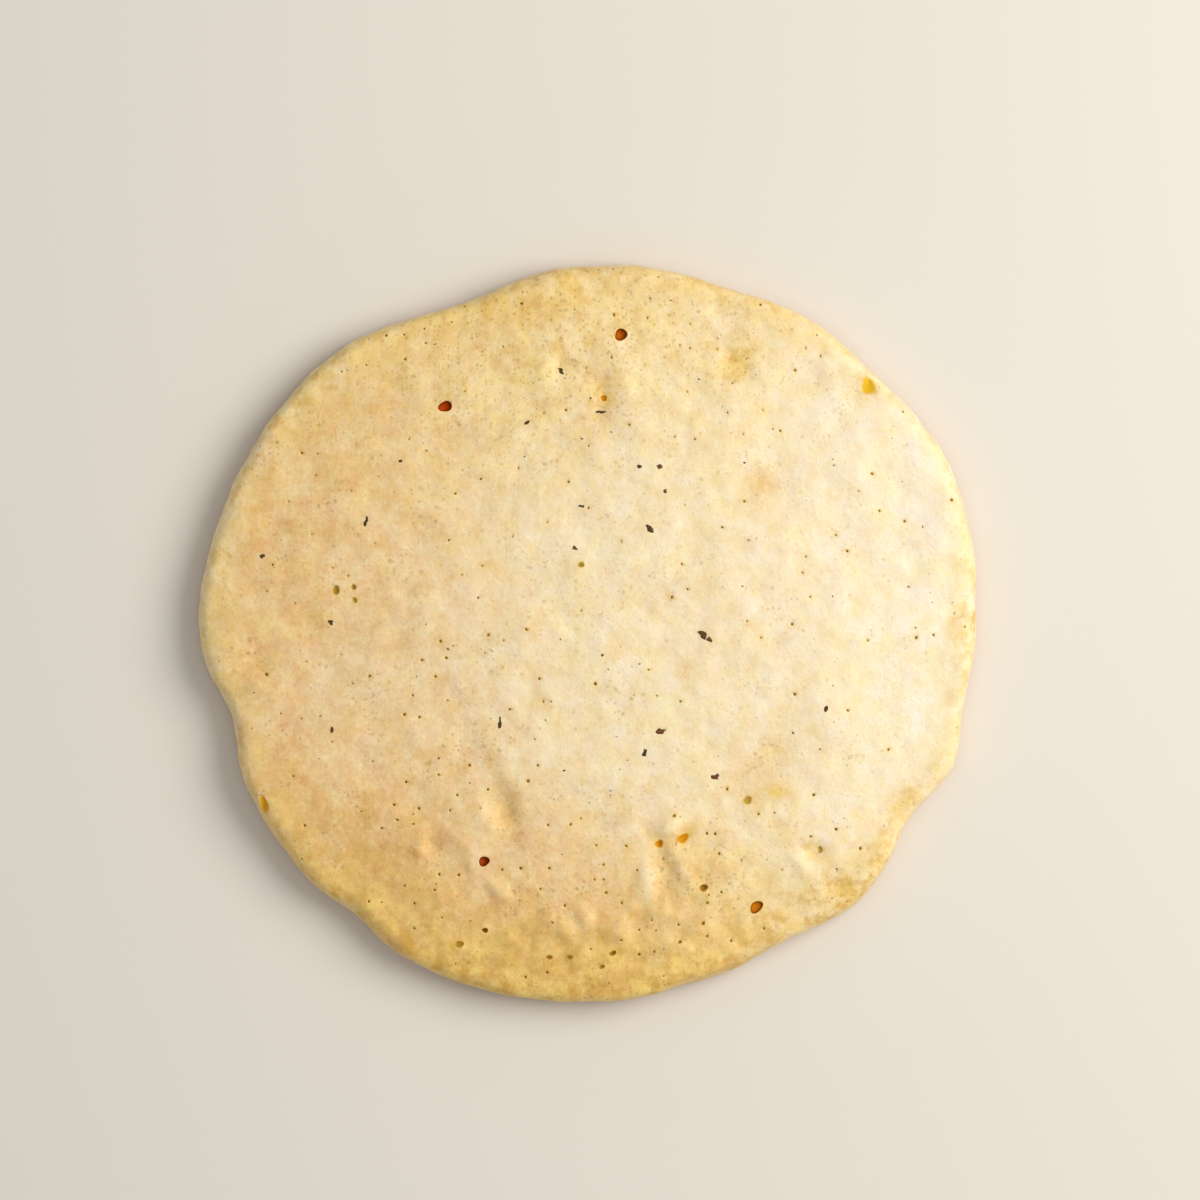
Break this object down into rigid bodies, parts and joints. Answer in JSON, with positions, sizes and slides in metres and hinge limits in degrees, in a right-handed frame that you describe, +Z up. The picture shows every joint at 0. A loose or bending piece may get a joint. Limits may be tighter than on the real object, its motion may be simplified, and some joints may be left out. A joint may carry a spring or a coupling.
{
  "type": "buttermilk pancake",
  "caption": "Thick round pancake with a pale, softly dented upper side, an uneven rolled rim, open bubble holes and a flat browned underside.",
  "frame": {"origin": "middle of the pancake's box on the flat underside, where it meets the surface that it lies on", "axes": "+Z up through the thickness, +X along the longest way across, +Y towards the edge that is at the top of the picture"},
  "size_m": [0.15, 0.1422, 0.0116],
  "materials": {
    "pancake": "matte, griddled batter"
  },
  "bodies": {
    "root": {"pancake": "pancake"}
  },
  "joints": []
}
